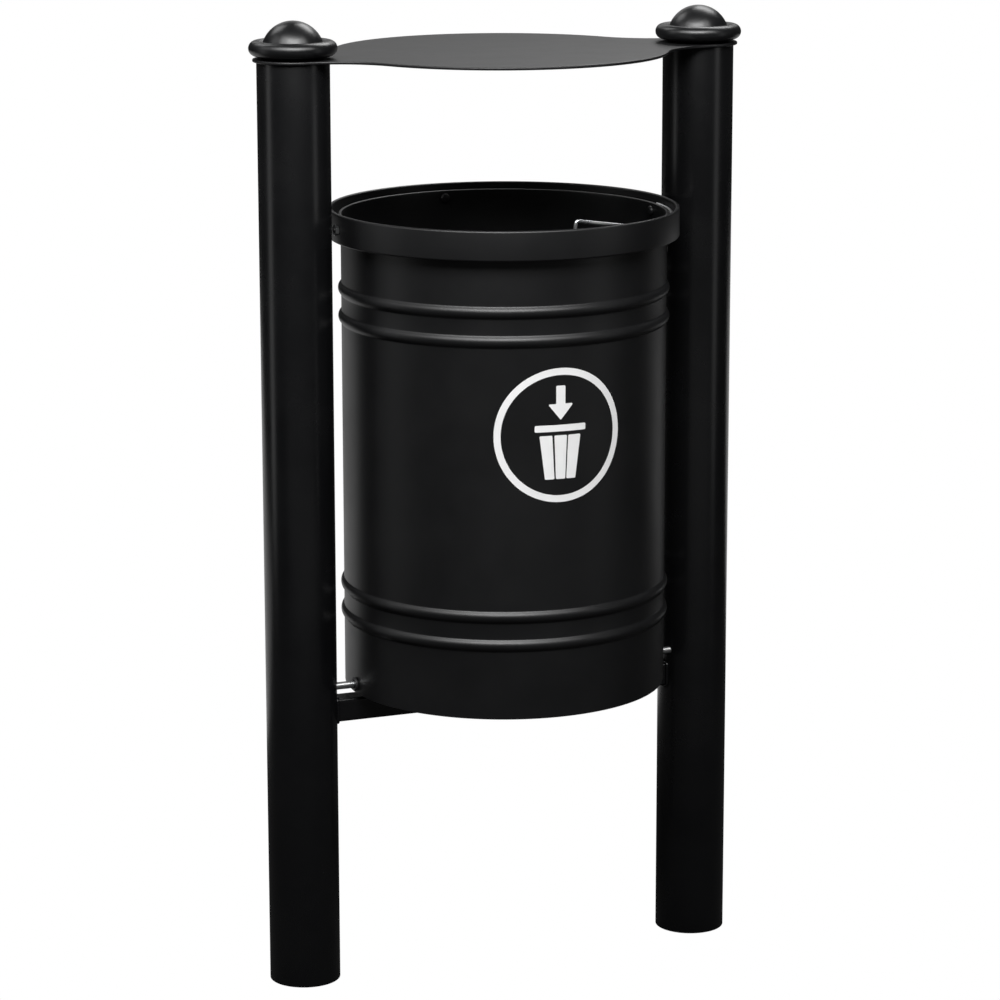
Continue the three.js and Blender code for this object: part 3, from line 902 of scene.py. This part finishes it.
def thread(radius, start, end, pitch=1.0):
    """Rows of a threaded length, its crests and roots drawn as rings."""
    rows, z = [], start
    while z + pitch <= end:
        rows.append((radius, z + pitch * 0.15))
        rows.append((radius - pitch * 0.45, z + pitch * 0.5))
        rows.append((radius, z + pitch * 0.85))
        z += pitch
    return rows


for side, azimuth in (("right", 0), ("back", math.pi / 2), ("left", math.pi)):
    place = along_x(Vector((shell.x * MM, shell.y * MM, middle(side + "_band_bolt").z)), azimuth)
    seat = bucket_r - SHEET - 0.3
    tip = band_r + 5
    turns = [math.radians(d) for d in range(90, -1, -15)]
    dome = [(HEAD_R * math.cos(a), seat - 1.5 - 1.8 * math.sin(a)) for a in turns]
    bolt_rows = [(0, dome[0][1]), *dome[1:], (HEAD_R, seat - 0.2), (HEAD_R - 0.2, seat), (BOLT_R, seat),
                 (BOLT_R, band_r - 1), *thread(BOLT_R, band_r - 0.9, tip - 0.5),
                 (BOLT_R - 0.55, tip), (0, tip)]
    fit_piece(side + "_band_bolt_m6", turned("bolt", bolt_rows, 48, place), sheet_coat, "bucket",
              "black_powder_coat", side + "_band_bolt")
    spacer_r = size_of(side + "_band_spacer").z / 2
    spacer_end = band_r - BAND_THICKNESS - 0.5
    spacer_rows = rounded([
        (BOLT_R + 0.3, bucket_r + 0.4, 0.2), (spacer_r, bucket_r + 0.4, 0.3),
        (spacer_r, spacer_end, 0.3), (BOLT_R + 0.3, spacer_end, 0.2),
    ])
    fit_piece(side + "_band_spacer_tube", turned("spacer", spacer_rows, 48, place), zinc, "bucket",
              "zinc_plated_steel", side + "_band_spacer")
    nut_rows = hexagon(NUT_CORNER, band_r + 0.3, band_r + 4.3, BOLT_R + 0.05)
    fit_piece(side + "_band_nut_m6", turned("nut", nut_rows, 72, place), zinc, "bucket",
              "zinc_plated_steel", side + "_band_nut", sharp=25)


# ---------------------------------------------------------------- bag bail
# A half ring of 4 mm zinc plated wire whose two eyes are bent round the side spacers. It
# presses the folded bag down behind the band, and a step bent into it near the front
# right stands up as a finger lift.
WIRE_R = 2
BAIL_R = 178
EYE_R = 7
LIFT_START = -88
LIFT_END = -57
LIFT_RISE = 16
eye_z = middle("back_band_bolt").z / MM


def on_ring(degrees, rise=0.0):
    turn = math.radians(degrees)
    return Vector((BAIL_R * math.cos(turn), shell.y + BAIL_R * math.sin(turn), eye_z + EYE_R + rise))


def eye(end):
    """The eye's wire, from its cut end round the spacer to the top, where the ring leaves."""
    points = []
    for degrees in range(62, 361, 8):
        turn = math.radians(degrees)
        across, up = EYE_R * math.sin(turn), EYE_R * math.cos(turn)
        points.append(Vector((end * BAIL_R, shell.y + across, eye_z + up)))
    return points


def softened(points, times=3):
    """Cuts the corners of a line again and again, as a bender's rounded jaws do."""
    for _ in range(times):
        cut = [points[0]]
        for a, b in zip(points, points[1:]):
            cut += [a.lerp(b, 0.25), a.lerp(b, 0.75)]
        points = cut + [points[-1]]
    return points


lift_span = LIFT_END - LIFT_START
ring_line = [on_ring(d) for d in range(-177, LIFT_START - 3, 3)]
ring_line += [on_ring(LIFT_START - 1.2), on_ring(LIFT_START - 0.1), on_ring(LIFT_START + 0.1, LIFT_RISE)]
ring_line += [on_ring(LIFT_START + 2.0, LIFT_RISE * 0.94)]
for part in (0.25, 0.5, 0.75, 0.96):
    ring_line.append(on_ring(LIFT_START + lift_span * part, LIFT_RISE * (1 - part)))
ring_line += [on_ring(d) for d in range(LIFT_END + 3, -2, 3)]
bail_line = softened([*eye(-1), *ring_line, *reversed(eye(1))])
bail_line = resampled(bail_line, 1.3)
fit_piece("bag_bail_wire", swept("bail", bail_line, WIRE_R, 16), zinc, "bail",
          "zinc_plated_steel", "bag_bail")


# ---------------------------------------------------------------- pivots
# Low on each side an M8 hexagon bolt passes from inside the bucket through a flanged
# nylon bush into a nut welded in the post. The bucket tilts forward on the two bushes.
PIVOT_R = 4
PIVOT_PITCH = 1.25
PIVOT_CORNER = 7.5
WASHER_R = 7.8
BUSH_R = 5.9
BUSH_FLANGE_R = 7.4
nylon = moulded("black_nylon", (0.010, 0.010, 0.011), 0.5, 700, 0.02)
for side, azimuth in (("right", 0), ("left", math.pi)):
    pivot = middle(side + "_pivot_bolt")
    place = along_x(Vector((0, pivot.y, pivot.z)), azimuth)
    washer_end = bucket_r - SHEET - 1
    head_end = washer_end - 1.9
    nut_start = post_centre.x - post_r + POST_WALL + 8.2
    shank = [
        *hexagon(PIVOT_CORNER, head_end - 5.3, head_end)[:-1], (PIVOT_R + 0.3, head_end),
        (PIVOT_R, head_end + 0.3), (PIVOT_R, nut_start - 4),
        *thread(PIVOT_R, nut_start - 3.8, nut_start + 8.4, PIVOT_PITCH),
        (PIVOT_R - 0.8, nut_start + 9), (0, nut_start + 9),
    ]
    fit_piece(side + "_pivot_bolt_m8", turned("pivot", shank, 72, place), zinc, "frame",
              "zinc_plated_steel", side + "_pivot_bolt", sharp=25)
    washer_rows = rounded([
        (PIVOT_R + 0.3, washer_end - 1.6, 0.15), (WASHER_R, washer_end - 1.6, 0.35),
        (WASHER_R, washer_end, 0.15), (PIVOT_R + 0.3, washer_end, 0.15),
    ])
    fit_piece(side + "_pivot_washer_m8", turned("washer", washer_rows, 64, place), zinc, "frame",
              "zinc_plated_steel", side + "_pivot_washer")
    bush_seat = bucket_r + 0.4
    bush_rows = rounded([
        (PIVOT_R + 0.2, washer_end + 0.3, 0.3), (BUSH_R, washer_end + 0.3, 0.5), (BUSH_R, bush_seat, 0.2),
        (BUSH_FLANGE_R, bush_seat, 0.4), (BUSH_FLANGE_R, bush_seat + 2.4, 0.8),
        (PIVOT_R + 0.2, bush_seat + 2.4, 0.4),
    ])
    fit_piece(side + "_pivot_bush_nylon", turned("bush", bush_rows, 64, place), nylon, "bucket",
              "black_nylon", side + "_pivot_bush")
    refinish(side + "_pivot_nut", zinc)


# ---------------------------------------------------------------- lock
# A triangular-key lock crosses the right post. A quarter turn of its barrel drives the
# steel bolt through a nylon guide into a keeper ring welded to the bucket. Housing and
# barrel are zinc plated and sit a little below the round of the post.
HOUSING_R = 11
BARREL_R = 8
BARREL_SETBACK = 4
KEY_R = 5
KEY_RECESS = 1.4
KEY_RISE = 3.4
LOCK_BOLT_R = 5
KEEPER_BORE = 7
KEEPER_R = 10.5
KEEPER_WELD_STEPS = 48
lock_place = along_x(Vector((0, lock_point.y, lock_point.z)))
housing_start, housing_end = (corner.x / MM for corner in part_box("lock_housing"))
housing_rows = rounded([
    (BARREL_R + 0.3, housing_start, 0.2), (HOUSING_R, housing_start, 0.5),
    (HOUSING_R, housing_end, 0.7), (BARREL_R + 0.3, housing_end, 0.7),
])
fit_piece("lock_housing_body", turned("housing", housing_rows, 96, lock_place), zinc, "frame",
          "zinc_plated_steel", "lock_housing")

inner_face = post_centre.x - post_r
barrel_end = housing_end - BARREL_SETBACK
sleeve_start, sleeve_end = inner_face + 22, inner_face + 50
key_flat = KEY_R / 2


def key_reach(angle):
    """The three-sided key stud, its corners rounded."""
    return min(KEY_R * 0.86, key_flat / math.cos((angle % (2 * math.pi / 3)) - math.pi / 3))


barrel_rows = [
    (0, sleeve_end), (LOCK_BOLT_R + 0.6, sleeve_end), (LOCK_BOLT_R + 0.6, sleeve_start),
    (BARREL_R, sleeve_start), (BARREL_R, barrel_end - 0.5), (BARREL_R - 0.5, barrel_end),
    (KEY_R + 1.2, barrel_end), (KEY_R + 0.9, barrel_end - KEY_RECESS),
    lambda angle: (key_reach(angle), barrel_end - KEY_RECESS),
    lambda angle: (key_reach(angle), barrel_end + KEY_RISE - 0.3),
    lambda angle: (key_reach(angle) - 0.3, barrel_end + KEY_RISE),
    (0, barrel_end + KEY_RISE),
]
fit_piece("lock_barrel_key", turned("barrel", barrel_rows, 96, lock_place), zinc, "lock_core",
          "zinc_plated_steel", "lock_barrel", sharp=30)
lock_bolt_rows = [
    (0, inner_face + 0.5), (3.7, inner_face + 0.5), (4.2, inner_face + 0.7), (LOCK_BOLT_R, inner_face + 1.6),
    (LOCK_BOLT_R, inner_face + 43.6), (LOCK_BOLT_R - 0.4, inner_face + 44), (0, inner_face + 44),
]
fit_piece("lock_bolt_pin", turned("pin", lock_bolt_rows, 64, lock_place), zinc, "lock_slider",
          "zinc_plated_steel", "lock_bolt")
keeper_start, keeper_end = bucket_r + 0.3, inner_face - 5
keeper_rows = rounded([
    (KEEPER_BORE, keeper_start, 0.2), (KEEPER_R, keeper_start, 0.2), (KEEPER_R, keeper_end, 0.9),
    (KEEPER_BORE, keeper_end, 0.9),
])
fit_piece("lock_keeper_ring", turned("keeper", keeper_rows, 64, lock_place), sheet_coat, "bucket",
          "black_powder_coat", "lock_keeper")
keeper_line = []
for k in range(KEEPER_WELD_STEPS):
    turn = 2 * math.pi * k / KEEPER_WELD_STEPS
    across, up = (KEEPER_R + 0.2) * math.sin(turn), (KEEPER_R + 0.2) * math.cos(turn)
    out = math.sqrt(bucket_r ** 2 - (lock_point.y / MM + across - shell.y) ** 2)
    keeper_line.append((shell.x + out + 0.3, lock_point.y / MM + across, lock_point.z / MM + up))
fit_piece("lock_keeper_weld", welded("weld", keeper_line, 1.4, loop=True), sheet_coat, "bucket",
          "black_powder_coat", sharp=60)
refinish("lock_guide", nylon)


# ---------------------------------------------------------------- sign
# A white screen print on the bucket's front: a plain ring round a litter basket, with an
# arrow that points down into it. The ink stands a tenth of a millimetre off the coat.
SIGN_AZIMUTH = -92.4
SIGN_HEIGHT = 301.6
SIGN_INNER_R = 63.2
SIGN_OUTER_R = 70.5
SIGN_RING_STEPS = 96
SIGN_STRIP = 4.0
BASKET_HEIGHT = 46
BASKET_HALF_TOP = 23
BASKET_HALF_FOOT = 17
INK_BASE = 0.012
INK_THICKNESS = 0.1
INK_GREY = 0.80


def printed(name):
    finish, nodes, links, shader, where = new_finish(name)
    cloud = noise(nodes, links, where, 30, 3)
    mesh_marks = noise(nodes, links, where, 1400, 2)
    darker, lighter = (INK_GREY * 0.97,) * 3, (INK_GREY * 1.03,) * 3
    links.new(tinted(nodes, links, cloud, darker, lighter), shader.inputs["Base Color"])
    links.new(between(nodes, links, cloud, 0.42, 0.52), shader.inputs["Roughness"])
    links.new(relief(nodes, links, [(mesh_marks, 0.006)]), shader.inputs["Normal"])
    return finish


def wrapped(name, shapes):
    """Flat closed shapes in millimetres, cut into strips, thickened and laid round the bucket."""
    work = bmesh.new()
    for shape in shapes:
        work.faces.new([work.verts.new((x, 0, y)) for x, y in shape])
    for step in range(-18, 19):
        bmesh.ops.bisect_plane(work, geom=work.verts[:] + work.edges[:] + work.faces[:], dist=1e-5,
                               plane_co=(step * SIGN_STRIP, 0, 0), plane_no=(1, 0, 0))
    lower = work.faces[:]
    raised = bmesh.ops.extrude_face_region(work, geom=lower, use_keep_orig=True)["geom"]
    for vert in raised:
        if isinstance(vert, bmesh.types.BMVert):
            vert.co.y = INK_THICKNESS
    for vert in work.verts:
        turn = math.radians(SIGN_AZIMUTH) + vert.co.x / bucket_r
        radius = bucket_r + INK_BASE + vert.co.y
        vert.co = Vector(round_bucket(radius, turn, shell_low.z + SIGN_HEIGHT + vert.co.z)) * MM
    bmesh.ops.recalc_face_normals(work, faces=work.faces)
    mesh = bpy.data.meshes.new(name)
    work.to_mesh(mesh)
    work.free()
    return mesh


ink = printed("white_screen_print")
ring_shapes = []
for k in range(SIGN_RING_STEPS):
    a, b = (2 * math.pi * step / SIGN_RING_STEPS for step in (k, k + 1))
    edges = ((SIGN_INNER_R, a), (SIGN_OUTER_R, a), (SIGN_OUTER_R, b), (SIGN_INNER_R, b))
    ring_shapes.append([(radius * math.cos(turn), radius * math.sin(turn)) for radius, turn in edges])
basket = []
for start in (-1.0, -1 / 3 + 0.03, 1 / 3 + 0.03):
    end = start + 0.6
    basket.append(rounded([
        (start * BASKET_HALF_FOOT, -BASKET_HEIGHT, 1.2), (end * BASKET_HALF_FOOT, -BASKET_HEIGHT, 1.2),
        (end * BASKET_HALF_TOP, 0, 1.2), (start * BASKET_HALF_TOP, 0, 1.2),
    ]))
basket_rim = rounded([(-28, 4, 1.4), (28, 4, 1.4), (28, 11, 1.4), (-28, 11, 1.4)])
arrow = rounded([
    (0, 16, 1.0), (14, 33, 1.0), (5, 33, 0.6), (5, 52, 1.2),
    (-5, 52, 1.2), (-5, 33, 0.6), (-14, 33, 1.0),
])
fit_piece("sign_ring", wrapped("sign_ring", ring_shapes), ink, "bucket", "white_print", flat_weight=False)
fit_piece("sign_basket", wrapped("sign_basket", [*basket, basket_rim, arrow]), ink, "bucket", "white_print",
          flat_weight=False)
